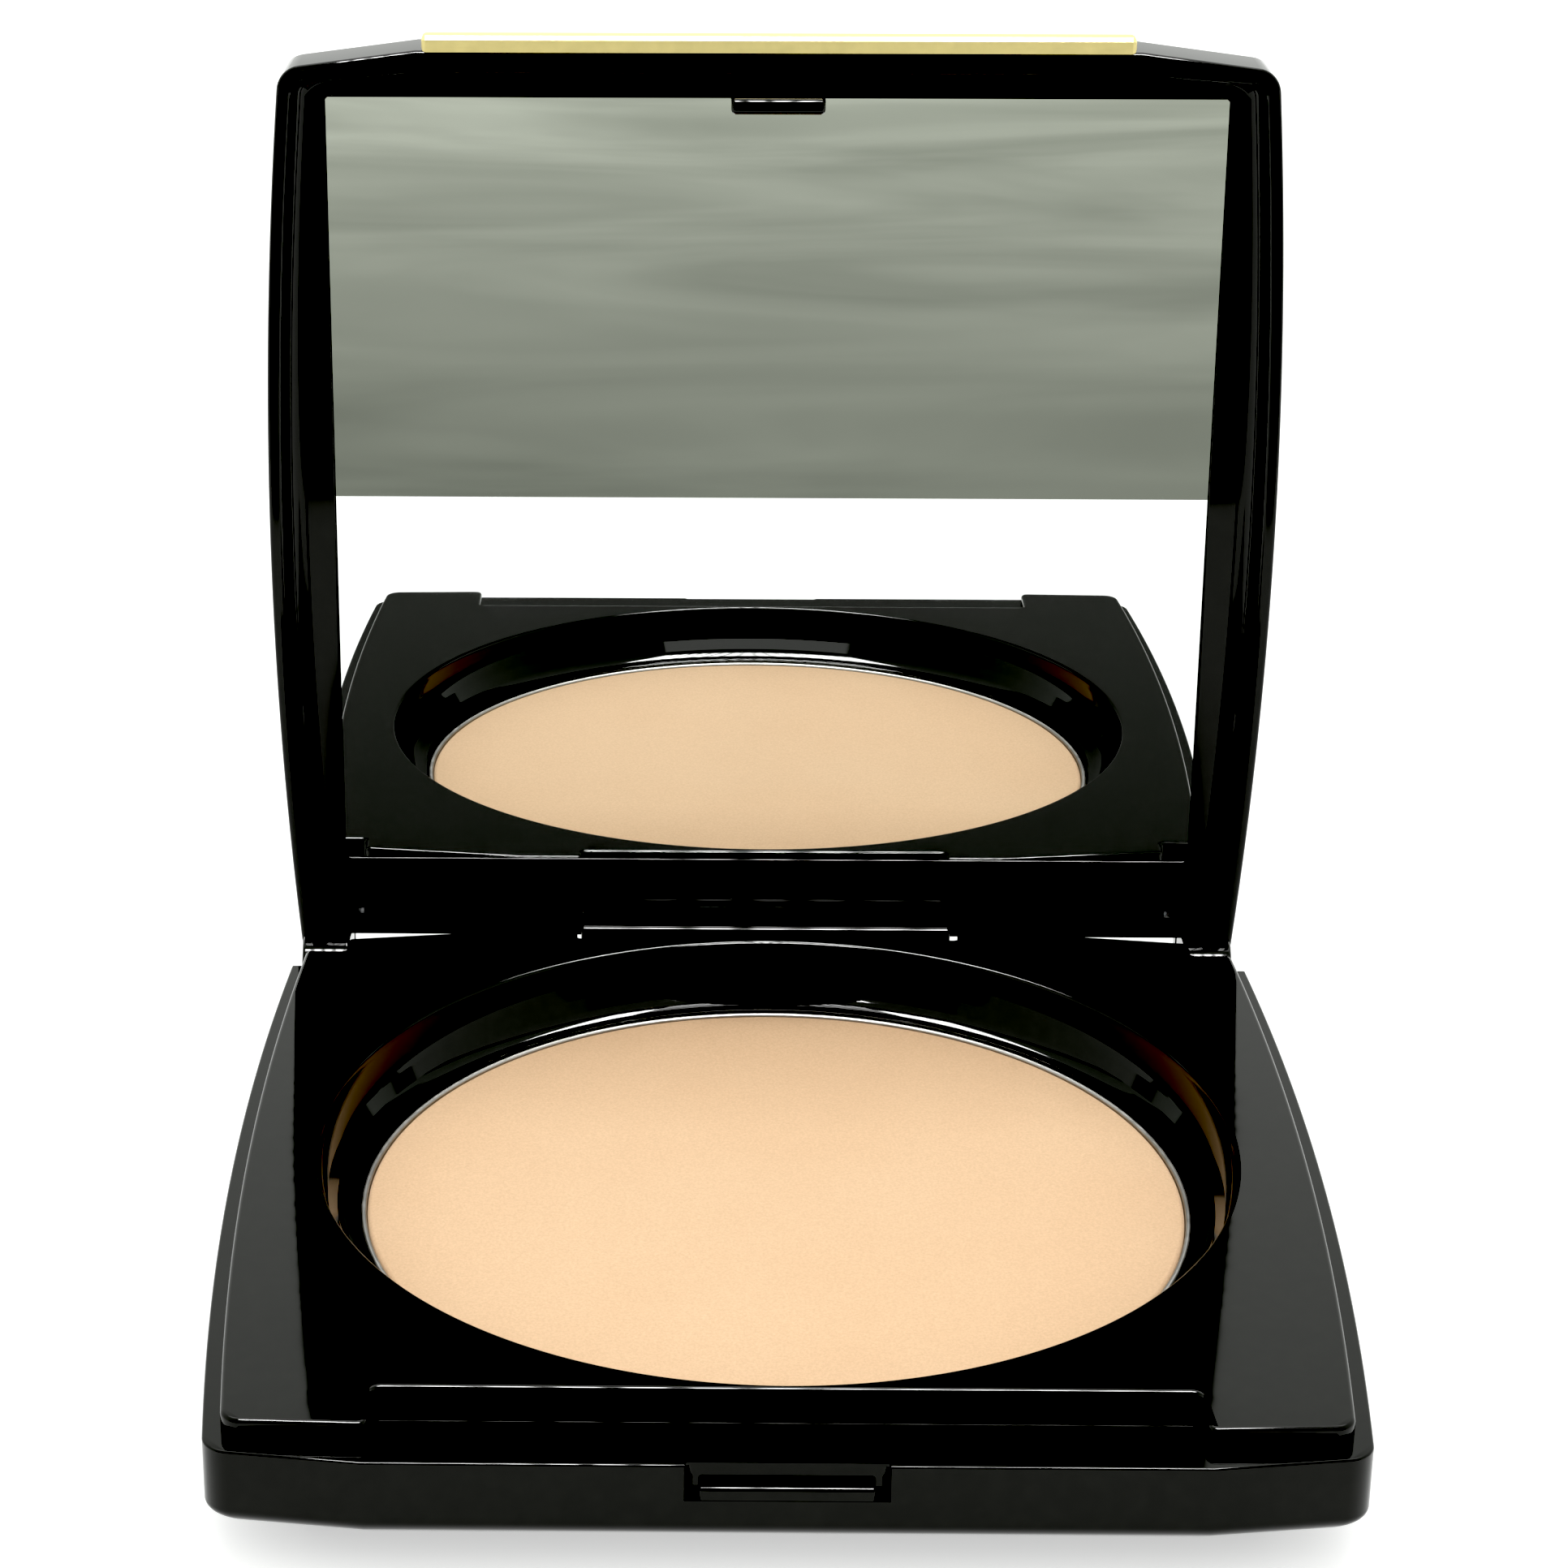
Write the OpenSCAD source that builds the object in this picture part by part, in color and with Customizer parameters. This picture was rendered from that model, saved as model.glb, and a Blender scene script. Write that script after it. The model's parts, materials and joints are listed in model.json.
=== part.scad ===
// Pressed powder compact, shown standing open. Origin: middle of the flat underside.
// +X is to the right, -Y is the thumb side, +Y the hinge side, +Z up. Millimetres.

/* [Outline] */
// Widest size of the case, across the hinge line
case_w = 78.1; // [77:0.1:80]
// Front to back size of the case without the trim bar
case_d = 76.8; // [76:0.1:78]
// Radius of the bowed sides
side_r = 390; // [340:5:450]
// Half length of the straight middle of the front and rear edges
kink_x = 27; // [25:0.5:29]
// Angle by which the ends of the front and rear edges fall back, degrees
fall_back = 7.6; // [5:0.1:9]
// Radius of the case's four vertical corners
corner_r = 2.0; // [1.5:0.1:2.5]

/* [Base] */
// Height of the seam where the lid's rim lands
seam_z = 9.0; // [8.9:0.05:9.2]
// Height of the raised deck above the seam ledge
deck_h = 1.4; // [1.2:0.1:1.5]
// Height at which the upright edge ends and the underside's flank starts
flank_z = 4.0; // [3.6:0.1:4.2]
// How far the flank runs in before it meets the flat underside
flank_in = 6.0; // [5:0.5:8]
// Thickness of the tray's floor
floor_t = 1.2; // [1:0.1:1.4]

/* [Powder] */
// Distance of the pan's centre behind the case's centre
pan_y = 2.0; // [1.5:0.1:2.2]
// Diameter of the pressed powder
powder_d = 59.0; // [57:0.5:59]
// Depth of the powder's surface below the deck
powder_sink = 4.76; // [4.5:0.01:4.9]
// Radius of the round mouth, just below its rounded edge
mouth_r = 32.9; // [32.7:0.05:33]

/* [Lid] */
// Height of the lid's upright edge
lid_edge_h = 5.3; // [5:0.1:5.6]
// Rise of the lid's top panel above that edge
lid_crown = 1.7; // [1.4:0.1:2]
// Depth of the mirror's face behind the rim
mirror_sink = 3.6; // [3.4:0.05:3.8]
// Width of the mirror
mirror_w = 68.2; // [66:0.1:68.5]
// Height of the mirror
mirror_h = 62.2; // [60:0.1:62.5]
// Length of the metal bar along the thumb edge
bar_l = 53.1; // [50:0.1:53.5]

/* [Hinge] */
// Distance of the hinge axis behind the case's centre
axis_y = 36.65; // [36.6:0.01:36.8]
// Height of the hinge axis
axis_z = 4.9; // [4.8:0.05:5.0]
// Radius of the hinge knuckles
knuckle_r = 2.1; // [2:0.05:2.2]
// Diameter of the two hinge pins
pin_d = 1.6; // [1.4:0.1:1.8]
// Angle between the closed lid and the lid at its open stop, degrees
open_angle = 91.66; // [90:0.01:95]

/* [Hidden] */

far = 200;
gap = 0.05;
half_w = case_w / 2;
front_y = -case_d / 2;
rear_y = case_d / 2;
side_cx = side_r - half_w;

// Deck: insets from the case outline, and the lid-bar recess in its front edge
deck_z = seam_z + deck_h;
deck_in = 1.2;
deck_front_in = 2.45;
deck_rear_in = 1.3;
deck_fall = 2;
deck_corner_r = 1.4;
deck_kink_x = 20;
recess_hw = 26.8;
recess_y = front_y + 6.9;
skirt_z = seam_z - 1.5;
skirt_in = 2.8;
cavity_in = 2.7;
cavity_z = 5.0;
pocket_front = recess_y + 0.6;

// Latch slot in the front ledge, and the thumb scoop in the front face
slot_w = 7.9;
slot_y = front_y + 2.8;
slot_d = 1.6;
slot_h = 2.6;
scoop_w = 13.1;
scoop_z = 6.35;
scoop_depth = 1.3;
grip_w = 11.3;
grip_h = 0.95;
grip_t = 0.8;
bead_r = 0.25;

// Pan and powder
powder_z = deck_z - powder_sink;
powder_r = powder_d / 2;
pan_wall = 0.4;
pan_clear = 0.05;
pan_ir = powder_r + pan_clear;
pan_or = pan_ir + pan_wall;
glue_t = 0.3;
pan_z = floor_t + glue_t;
cove_r = pan_or + 0.15;
cove_z = powder_z + 0.25;
cove_steps = 12;
cove_wall = 0.5;
lip_r = 0.3;

// Hinge: three lid knuckles and, between them, two solid stretches of the tray
ear_in = 33.6;
ear_out = 37.4;
ear_notch_x = 33.3;
ear_notch_y = 33.1;
tongue_hw = 15.0;
tongue_y = 33.5;
tongue_z = 11.0;
tongue_notch_hw = 15.35;
deck_notch_y = 35.7;
knuckle_clear = 0.3;
pin_r = pin_d / 2;
bore_r = pin_r + 0.03;
pin_in = 12.0;
pin_out = 37.2;

// Lid, described closed and then swung open about the hinge axis
rim_z = seam_z + gap;
edge_z = rim_z + lid_edge_h;
lid_top = edge_z + lid_crown;
crown_in = 7;
rim_side = 1.05;
rim_front = 1.7;
rim_wall_h = 1.65;
rim_fall = 5;
rim_r = 1.4;
plate_in = 2.5;
plate_front = 2.2;
mirror_z = rim_z + mirror_sink;
plate_z = mirror_z - 0.1;
plate_t = 1.5;
ceiling_z = plate_z + plate_t;
mirror_t = 1.2;
mirror_front = -34.15;
tail_y = 34.85;
tail_lean = 24.5;
plate_rear = 32.6;
hook_w = 7.0;
hook_y = slot_y + 0.45;
hook_t = 0.9;
hook_reach = 2.1;
bar_h = 1.75;
bar_out = 1.1;

// Quarter of the outline: from the middle of an end edge round to the widest point.
// edge = distance of that end edge from the centre, inset = how far the side is moved in.
function corner_x(edge, inset, r, fall) =
    let (t = tan(fall),
         m = -edge - kink_x * t + r / cos(fall),
         k = side_r - inset - r,
         a = 1 + t * t,
         b = side_cx + m * t,
         c = side_cx * side_cx + m * m - k * k)
    (-b + sqrt(b * b - a * c)) / a;
function quarter(edge, inset, r, fall) =
    let (t = tan(fall),
         cx = corner_x(edge, inset, r, fall),
         cy = -edge - kink_x * t + r / cos(fall) + t * cx,
         turn = atan2(cy, cx + side_cx),
         start = fall - 90)
    concat([[kink_x, -edge]],
        [for (i = [0 : 6]) let (g = start + (turn - start) * i / 6) [cx + r * cos(g), cy + r * sin(g)]],
        [for (i = [1 : 11]) let (g = turn * (1 - i / 12))
            [(side_r - inset) * cos(g) - side_cx, (side_r - inset) * sin(g)]]);
function flip_x(p) = [for (i = [len(p) - 1 : -1 : 0]) [-p[i][0], p[i][1]]];
function flip_y(p) = [for (i = [len(p) - 1 : -1 : 0]) [p[i][0], -p[i][1]]];
function outline(side = 0, front = 0, rear = 0, r = corner_r, fall = fall_back) =
    let (f = quarter(-front_y - front, side, r, fall),
         b = flip_y(quarter(rear_y - rear, side, r, fall_back)))
    concat(f, [[half_w - side, 0]], b, flip_x(b), [[side - half_w, 0]], flip_x(f));

module slab(z0, z1, side = 0, front = 0, rear = 0, r = corner_r, fall = fall_back) {
    translate([0, 0, z0])
        linear_extrude(z1 - z0)
            polygon(outline(side, front, rear, r, fall));
}

// Children on the right (s = 1) or mirrored to the left (s = -1)
module on_side(s) {
    mirror([1 - s, 0, 0])
        children();
}

// A block from corner lo to corner hi
module block(lo, hi) {
    translate(lo)
        cube(hi - lo);
}

// A round bar along X, centred on the hinge axis
module axle(x0, x1, r) {
    translate([x0, axis_y, axis_z])
        rotate([0, 90, 0])
            cylinder(r = r, h = x1 - x0, $fn = 64);
}

// The left and right corner notches for the lid's ears
module ear_notches() {
    for (s = [-1, 1])
        on_side(s)
            block([ear_notch_x, ear_notch_y, -1], [half_w + 1, rear_y + 1, deck_z + 1]);
}

module tray_outside() {
    slab(flank_z, seam_z);
    hull() {
        slab(flank_z - gap, flank_z);
        slab(0, gap, flank_in, flank_in, flank_in);
    }
}

module base_tray() {
    color("#101010")
        difference() {
            tray_outside();
            // pocket for the deck's skirt
            intersection() {
                slab(cavity_z, seam_z + 1, cavity_in, cavity_in, 5.2);
                block([-far, pocket_front, 0], [far, far, far]);
            }
            // round well for the pan
            translate([0, pan_y, floor_t])
                cylinder(r = pan_or + 0.1, h = far, $fn = 128);
            // room for the deck's round mouth
            translate([0, pan_y, cavity_z])
                cylinder(r = mouth_r + cove_wall + gap, h = far, $fn = 160);
            // latch slot
            block([-slot_w / 2, slot_y, seam_z - slot_h], [slot_w / 2, slot_y + slot_d, seam_z + 1]);
            // thumb scoop
            block([-scoop_w / 2, front_y - 1, scoop_z], [scoop_w / 2, front_y + scoop_depth, seam_z + 1]);
            // room for the lid's ears and middle knuckle
            ear_notches();
            block([-tongue_notch_hw, axis_y - knuckle_r - knuckle_clear, -1],
                [tongue_notch_hw, rear_y + 1, seam_z + 1]);
            axle(-half_w, half_w, pin_r);
        }
    // bead that the latch hook snaps behind, and the grip block inside the scoop
    color("#101010") {
        translate([-slot_w / 2, slot_y + bead_r / 2, seam_z - 1.6])
            rotate([0, 90, 0])
                cylinder(r = bead_r, h = slot_w, $fn = 24);
        block([-grip_w / 2, front_y, scoop_z - gap], [grip_w / 2, front_y + grip_t, scoop_z + grip_h]);
    }
}

// Concave wall of the round mouth, from the pan's edge up to the deck
function cove_curve() = [for (i = [0 : cove_steps]) let (g = 90 * i / cove_steps)
    [cove_r + (mouth_r - cove_r) * sin(g), cove_z + (deck_z - lip_r - cove_z) * (1 - cos(g))]];

module platform() {
    difference() {
        slab(seam_z, deck_z, deck_in, deck_front_in, deck_rear_in, deck_corner_r, deck_fall);
        block([-recess_hw, -far, 0], [recess_hw, recess_y, far]);
        for (s = [-1, 1])
            on_side(s)
                translate([deck_kink_x, rear_y - deck_rear_in, 0])
                    rotate([0, 0, -fall_back])
                        block([0, 0, 0], [half_w, far, far]);
    }
}

module deck_frame() {
    color("#141414")
        difference() {
            union() {
                platform();
                intersection() {
                    slab(skirt_z, seam_z, skirt_in, skirt_in, 5.3);
                    block([-far, pocket_front + 0.1, 0], [far, far, far]);
                }
                translate([0, pan_y, 0])
                    rotate_extrude($fn = 160)
                        polygon(concat(
                            [[0, cove_z - cove_wall / 2]],
                            [for (p = cove_curve()) [p[0] + cove_wall, p[1] - cove_wall / 2]],
                            [[mouth_r + cove_wall, skirt_z + 1], [0, skirt_z + 1]]));
            }
            translate([0, pan_y, 0])
                rotate_extrude($fn = 160)
                    polygon(concat(
                        [[0, -1], [cove_r, -1]],
                        cove_curve(),
                        [for (i = [0 : 4]) let (g = 90 * i / 4)
                            [mouth_r + lip_r * (1 - cos(g)), deck_z - lip_r * (1 - sin(g))]],
                        [[mouth_r + lip_r, far], [0, far]]));
            ear_notches();
            block([-tongue_notch_hw, deck_notch_y, 0], [tongue_notch_hw, rear_y + 1, far]);
        }
}

module pan_glue() {
    color("#d8d4c0")
        translate([0, pan_y, floor_t])
            cylinder(r = 18, h = glue_t, $fn = 64);
}

module powder_pan() {
    color("#c8c8c8")
        translate([0, pan_y, pan_z])
            difference() {
                cylinder(r = pan_or, h = powder_z + 0.1 - pan_z, $fn = 160);
                translate([0, 0, pan_wall])
                    cylinder(r = pan_ir, h = far, $fn = 160);
            }
}

module powder_cake() {
    color("#e9c6a0")
        translate([0, pan_y, pan_z + pan_wall])
            cylinder(r = powder_r, h = powder_z - pan_z - pan_wall, $fn = 160);
}

module hinge_pin() {
    color("#9a9a9a")
        axle(pin_in, pin_out, pin_r);
}

module hinge_pin_right() {
    hinge_pin();
}

module hinge_pin_left() {
    on_side(-1)
        hinge_pin();
}

// Swings a closed lid part back to the open stop
module swing() {
    translate([0, axis_y, axis_z])
        rotate([-open_angle, 0, 0])
            translate([0, -axis_y, -axis_z])
                children();
}

module lid_outside() {
    slab(rim_z, edge_z);
    hull() {
        slab(edge_z, edge_z + gap);
        slab(lid_top - gap, lid_top, crown_in, crown_in, crown_in);
    }
}

// The lid's tail: everything behind a face that leans back from the deck
module tail_cut() {
    translate([0, tail_y, plate_z])
        rotate([-tail_lean, 0, 0])
            block([-ear_in, 0, -30], [ear_in, 30, 30]);
}

// Ears at the rear corners and the tongue between them, down to the hinge axis
module lid_arms() {
    for (s = [-1, 1])
        on_side(s) {
            axle(ear_in, ear_out, knuckle_r);
            block([ear_in, axis_y - 1.7, axis_z], [ear_out, axis_y + 1.5, seam_z]);
            block([ear_in, ear_notch_y + 0.3, 7.6], [ear_out - 0.3, axis_y + 1.5, edge_z]);
        }
    axle(-tongue_hw, tongue_hw, knuckle_r);
    block([-tongue_hw, deck_notch_y + 0.2, axis_z], [tongue_hw, axis_y + 1.5, edge_z - 0.4]);
    block([-tongue_hw, tongue_y, tongue_z], [tongue_hw, axis_y, edge_z - 0.4]);
}

// Rim pocket with its sloping wall, and above it the seat of the mirror frame
module lid_pocket() {
    difference() {
        union() {
            slab(rim_z - 1, rim_z + rim_wall_h, rim_side, rim_front, rim_front, rim_r, rim_fall);
            hull() {
                slab(rim_z + rim_wall_h, rim_z + rim_wall_h + gap,
                    rim_side, rim_front, rim_front, rim_r, rim_fall);
                slab(plate_z - gap, plate_z, plate_in, plate_front, rim_front);
            }
        }
        for (s = [-1, 1])
            on_side(s)
                block([ear_in, ear_notch_y + 0.3, 0], [half_w, far, far]);
    }
    intersection() {
        slab(plate_z - gap, ceiling_z, plate_in, plate_front, 0);
        block([-far, -far, 0], [far, plate_rear, far]);
    }
}

module lid_shell() {
    color("#0c0c0c")
        swing()
            difference() {
                union() {
                    difference() {
                        lid_outside();
                        tail_cut();
                        lid_pocket();
                    }
                    lid_arms();
                }
                axle(-half_w, half_w, bore_r);
            }
}

module mirror_frame() {
    color("#161616")
        swing() {
            difference() {
                intersection() {
                    slab(plate_z, ceiling_z, plate_in + 0.1, plate_front + 0.1, 0);
                    block([-far, -far, 0], [far, plate_rear - 0.1, far]);
                }
                block([-mirror_w / 2 - 0.1, mirror_front - 0.1, 0],
                    [mirror_w / 2 + 0.1, mirror_front + mirror_h + 0.1, far]);
            }
            // latch hook
            block([-hook_w / 2, hook_y, seam_z - hook_reach], [hook_w / 2, hook_y + hook_t, plate_z + 0.5]);
        }
}

module mirror_glue() {
    color("#e0e0d8")
        swing()
            block([-mirror_w / 2 + 4, mirror_front + 4, mirror_z + mirror_t],
                [mirror_w / 2 - 4, mirror_front + mirror_h - 4, ceiling_z]);
}

module mirror_glass() {
    color("#b8c0c0")
        swing()
            block([-mirror_w / 2, mirror_front, mirror_z],
                [mirror_w / 2, mirror_front + mirror_h, mirror_z + mirror_t]);
}

module trim_bar() {
    color("#c9b878")
        swing()
            block([-bar_l / 2, front_y - bar_out, rim_z], [bar_l / 2, front_y, rim_z + bar_h]);
}

base_tray();
deck_frame();
pan_glue();
powder_pan();
powder_cake();
hinge_pin_left();
hinge_pin_right();
lid_shell();
mirror_frame();
mirror_glue();
mirror_glass();
trim_bar();
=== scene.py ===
"""Pressed powder compact, standing open on a pale table.

Lengths are millimetres until a mesh is made. The lid's pieces are drawn closed and swung open.
"""
import json
import math

import bmesh
import bpy
from mathutils import Matrix, Vector


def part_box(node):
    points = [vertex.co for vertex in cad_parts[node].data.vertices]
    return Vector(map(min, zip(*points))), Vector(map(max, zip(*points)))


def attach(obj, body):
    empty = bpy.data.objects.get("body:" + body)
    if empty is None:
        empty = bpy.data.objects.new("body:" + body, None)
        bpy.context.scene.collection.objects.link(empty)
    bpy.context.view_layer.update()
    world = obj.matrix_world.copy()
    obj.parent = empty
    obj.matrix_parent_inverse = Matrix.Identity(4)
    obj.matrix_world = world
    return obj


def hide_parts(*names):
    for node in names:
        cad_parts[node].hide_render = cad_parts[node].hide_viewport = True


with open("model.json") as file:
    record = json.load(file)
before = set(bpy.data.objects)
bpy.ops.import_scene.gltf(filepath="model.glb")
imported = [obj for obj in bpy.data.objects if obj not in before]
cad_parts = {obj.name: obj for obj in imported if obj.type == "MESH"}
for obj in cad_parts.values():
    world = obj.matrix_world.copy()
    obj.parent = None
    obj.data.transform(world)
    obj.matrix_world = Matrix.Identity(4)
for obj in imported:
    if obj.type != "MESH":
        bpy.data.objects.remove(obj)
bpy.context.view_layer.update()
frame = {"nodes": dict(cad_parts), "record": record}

MM = 0.001


def box_mm(node):
    lo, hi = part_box(node)
    return Vector(lo) / MM, Vector(hi) / MM


# ---------------------------------------------------------------- sizes the frame gives
HALF_W, END_Y, SEAM_Z = box_mm("base_tray")[1]
DECK_Z = box_mm("deck_frame")[1].z
CAKE_LO, CAKE_HI = box_mm("powder_cake")
PAN_LO, PAN_HI = box_mm("powder_pan")
BAR_LO, BAR_HI = box_mm("trim_bar")
POWDER_FLOOR, POWDER_Z = CAKE_LO.z, CAKE_HI.z
POWDER_R = (CAKE_HI.x - CAKE_LO.x) / 2
PAN_Y = (CAKE_HI.y + CAKE_LO.y) / 2
PAN_R = (PAN_HI.x - PAN_LO.x) / 2
BAR_L = BAR_HI.x - BAR_LO.x

HINGE = frame["record"]["behaviour"]["joints"][0]
AXIS = Vector(HINGE["pos_m"]) / MM
OPEN_ANGLE = math.radians(HINGE["range_deg"][1])
SWING = (Matrix.Translation(AXIS) @ Matrix.Rotation(-OPEN_ANGLE, 4, "X")
         @ Matrix.Translation(-AXIS))

# ---------------------------------------------------------------- sizes fitted to the photo
SIDE_R = 390.0                      # the bowed sides
CORNER_R = 2.0
KINK_X = 27.0                       # an end edge runs straight up to here, then falls back
FALL_BACK = math.radians(7.6)

FLANK_Z = 4.0                       # tray: sloping flank under the upright edge
FLANK_IN = 6.0
KNEE_IN, KNEE_DOWN, KNEE_UP = 1.2, 0.8, 0.6
TRAY_ROUND = 0.15
POCKET_IN, POCKET_REAR = 2.7, 5.8   # the pocket the deck stands in
SHOULDER_Z, WELL_Z = 5.0, 1.2
SLOT_HW, SLOT_Y, SLOT_DEEP = 3.95, -END_Y + 2.8, 2.6
SCOOP_HW, SCOOP_Z = 6.55, 6.35
GRIP_HW = 5.65

DECK_SIDE, DECK_FRONT, DECK_REAR = 1.2, 2.45, 1.3
DECK_FOOT_Z = SEAM_Z - 0.4
DECK_FALL = math.radians(2.0)
DECK_CORNER_R = 1.4
DECK_KINK_X = 20.0
DECK_NOTCH_Y = 35.7
RECESS_HW = 26.8                    # the recess that takes the closed lid's latch edge
RECESS_Y = -END_Y + 6.9
MOUTH_R = 32.9
LIP_R = 0.3
COVE_R, COVE_Z = PAN_R + 0.15, POWDER_Z + 0.25
PAN_WALL = 0.4

RIM_Z = SEAM_Z + 0.05               # lid, closed: rim, edge and crown
EDGE_Z = RIM_Z + 5.3
WALL_TOP = EDGE_Z - 1.0
LID_TOP = EDGE_Z + 1.7
CROWN_IN = 9.0
RIM_FALL = math.radians(5.0)
RIM_CORNER_R = 1.4
RIM_SIDE, RIM_END = 1.05, 1.7
WALL_UPRIGHT = 1.5
PLATE_Z = RIM_Z + 3.5
CEILING_Z = PLATE_Z + 1.5
TAIL_Y = 34.85                      # the lid's tail leans back from here
TAIL_LEAN = math.radians(24.5)
MIRROR_W, MIRROR_H = 68.2, 62.2
MIRROR_FRONT = -34.15
PLATE_REAR = 32.5

EAR_X0, EAR_X1 = 33.6, 37.4
EAR_NOTCH_X, EAR_NOTCH_Y = 33.3, 33.1
TONGUE_X = 15.0
TONGUE_NOTCH_X = 15.12
KNUCKLE_R = 2.1

BEYOND, BELOW, ABOVE = 60.0, -1.0, 20.0   # cutters end outside the case


# ---------------------------------------------------------------- outlines in plan
def quarter_turn(steps, first=0):
    """Angles from 0 (or the first step after it) to 90 degrees."""
    return [math.pi / 2 * i / steps for i in range(first, steps + 1)]


def quarter(edge, inset, radius, fall):
    """The right side of an outline, from the front corner's arc round to the widest point.

    edge is how far the end edge stands out, inset how far the side is drawn in.
    """
    side_cx = SIDE_R - HALF_W
    # the corner's centre is on a line along the end edge and on a circle inside the side
    slope = math.tan(fall)
    line_y = -edge - KINK_X * slope + radius / math.cos(fall)
    reach = SIDE_R - inset - radius
    a, b = 1 + slope * slope, side_cx + line_y * slope
    c = side_cx ** 2 + line_y * line_y - reach * reach
    cx = (-b + math.sqrt(b * b - a * c)) / a
    cy = line_y + slope * cx
    turn = math.atan2(cy, cx + side_cx)
    start = fall - math.pi / 2
    corner = [(cx + radius * math.cos(g), cy + radius * math.sin(g))
              for g in (start + (turn - start) * i / 10 for i in range(11))]
    side = [((SIDE_R - inset) * math.cos(g) - side_cx, (SIDE_R - inset) * math.sin(g))
            for g in (turn * (1 - i / 16) for i in range(1, 16))]
    return corner + side


def side_x(y, inset=0.0):
    """Half width of the outline at y."""
    return math.sqrt((SIDE_R - inset) ** 2 - y * y) - (SIDE_R - HALF_W)


def turn_back(points):
    return [(x, -y) for x, y in reversed(points)]


def both_sides(right):
    """A right half that starts and ends near the middle, closed by its mirror image."""
    return right + [(-x, y) for x, y in reversed(right)]


def halves(points):
    return [p for p in points if p[0] > 0], [p for p in points if p[0] < 0]


def fillet(previous, corner, following, radius, steps=5):
    """Points that round one corner of a polygon."""
    p, c, n = Vector(previous), Vector(corner), Vector(following)
    u, v = (p - c).normalized(), (n - c).normalized()
    half = u.angle(v) / 2
    reach = radius / math.tan(half)
    centre = c + (u + v).normalized() * (radius / math.sin(half))
    a, b = c + u * reach - centre, c + v * reach - centre
    total = a.angle_signed(b)
    rows = []
    for i in range(steps + 1):
        g = -total * i / steps
        rows.append((centre.x + a.x * math.cos(g) - a.y * math.sin(g),
                     centre.y + a.x * math.sin(g) + a.y * math.cos(g)))
    return rows


def rounded(points):
    """points: (x, y) kept as they are, or (x, y, radius) rounded. The list is closed."""
    rows = []
    for i, p in enumerate(points):
        if len(p) == 2:
            rows.append(p)
        else:
            rows += fillet(points[i - 1][:2], p[:2], points[(i + 1) % len(points)][:2], p[2])
    return rows


def shrink(poly, d):
    """The closed polygon (counter-clockwise) moved inwards by d, corner by corner."""
    if not d:
        return list(poly)
    rows = []
    count = len(poly)
    sharpest = 0.35                 # a corner moves no further than d / sharpest
    for i, p in enumerate(poly):
        a, b = Vector(poly[i - 1]), Vector(poly[(i + 1) % count])
        p = Vector(p)
        e0, e1 = (p - a).normalized(), (b - p).normalized()
        n0, n1 = Vector((-e0.y, e0.x)), Vector((-e1.y, e1.x))
        n = (n0 + n1).normalized()
        rows.append(tuple(p + n * (d / max(sharpest, n.dot(n0)))))
    return rows


def case_outline(side=0.0, front=0.0, rear=0.0, radius=CORNER_R, fall=FALL_BACK):
    """The case's outline drawn in by side, front and rear; fall is for the front edge."""
    f = [(KINK_X, -END_Y + front)] + quarter(END_Y - front, side, radius, fall)
    b = turn_back([(KINK_X, -END_Y + rear)] + quarter(END_Y - rear, side, radius, FALL_BACK))
    return both_sides(f + [(HALF_W - side, 0)] + b)


def even_outline(inset):
    return case_outline(inset, inset, inset)


def deck_outline():
    """The raised deck, with the latch recess in front and the hinge notches behind."""
    front_y, rear_y = -END_Y + DECK_FRONT, END_Y - DECK_REAR
    flank = turn_back(quarter(rear_y, DECK_SIDE, CORNER_R, FALL_BACK))
    notch_rear = rear_y - (EAR_NOTCH_X - DECK_KINK_X) * math.tan(FALL_BACK)
    right = [(RECESS_HW, RECESS_Y, 0.6), (RECESS_HW, front_y, 0.6)]
    right += quarter(END_Y - DECK_FRONT, DECK_SIDE, DECK_CORNER_R, DECK_FALL)
    right += [(HALF_W - DECK_SIDE, 0)] + [p for p in flank if p[1] < EAR_NOTCH_Y - 0.8]
    right += [(side_x(EAR_NOTCH_Y, DECK_SIDE), EAR_NOTCH_Y, 0.5), (EAR_NOTCH_X, EAR_NOTCH_Y, 0.4),
              (EAR_NOTCH_X, notch_rear, 0.5), (DECK_KINK_X, rear_y),
              (TONGUE_NOTCH_X, rear_y, 0.4), (TONGUE_NOTCH_X, DECK_NOTCH_Y, 0.4)]
    left = [(-p[0],) + tuple(p[1:]) for p in reversed(right)]
    return rounded(right + left)


def circle(radius, count):
    """A circle round the powder's middle."""
    return [(radius * math.cos(g), PAN_Y + radius * math.sin(g))
            for g in (2 * math.pi * i / count for i in range(count))]


def rect(x0, y0, x1, y1, radius=0.0):
    points = [(x0, y0), (x1, y0), (x1, y1), (x0, y1)]
    return rounded([p + (radius,) for p in points]) if radius else points


# ---------------------------------------------------------------- mesh building
def add_object(name, data):
    thing = bpy.data.objects.new(name, data)
    bpy.context.scene.collection.objects.link(thing)
    return thing


def smooth(mesh):
    for p in mesh.polygons:
        p.use_smooth = True


def to_mesh(name, bm, closed_lid):
    """Turns a bmesh in millimetres into a smooth mesh in metres, with the lid swung open."""
    bmesh.ops.recalc_face_normals(bm, faces=bm.faces)
    if closed_lid:
        bmesh.ops.transform(bm, matrix=SWING, verts=bm.verts)
    bmesh.ops.scale(bm, vec=(MM, MM, MM), verts=bm.verts)
    mesh = bpy.data.meshes.new(name)
    bm.to_mesh(mesh)
    bm.free()
    smooth(mesh)
    return mesh


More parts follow.
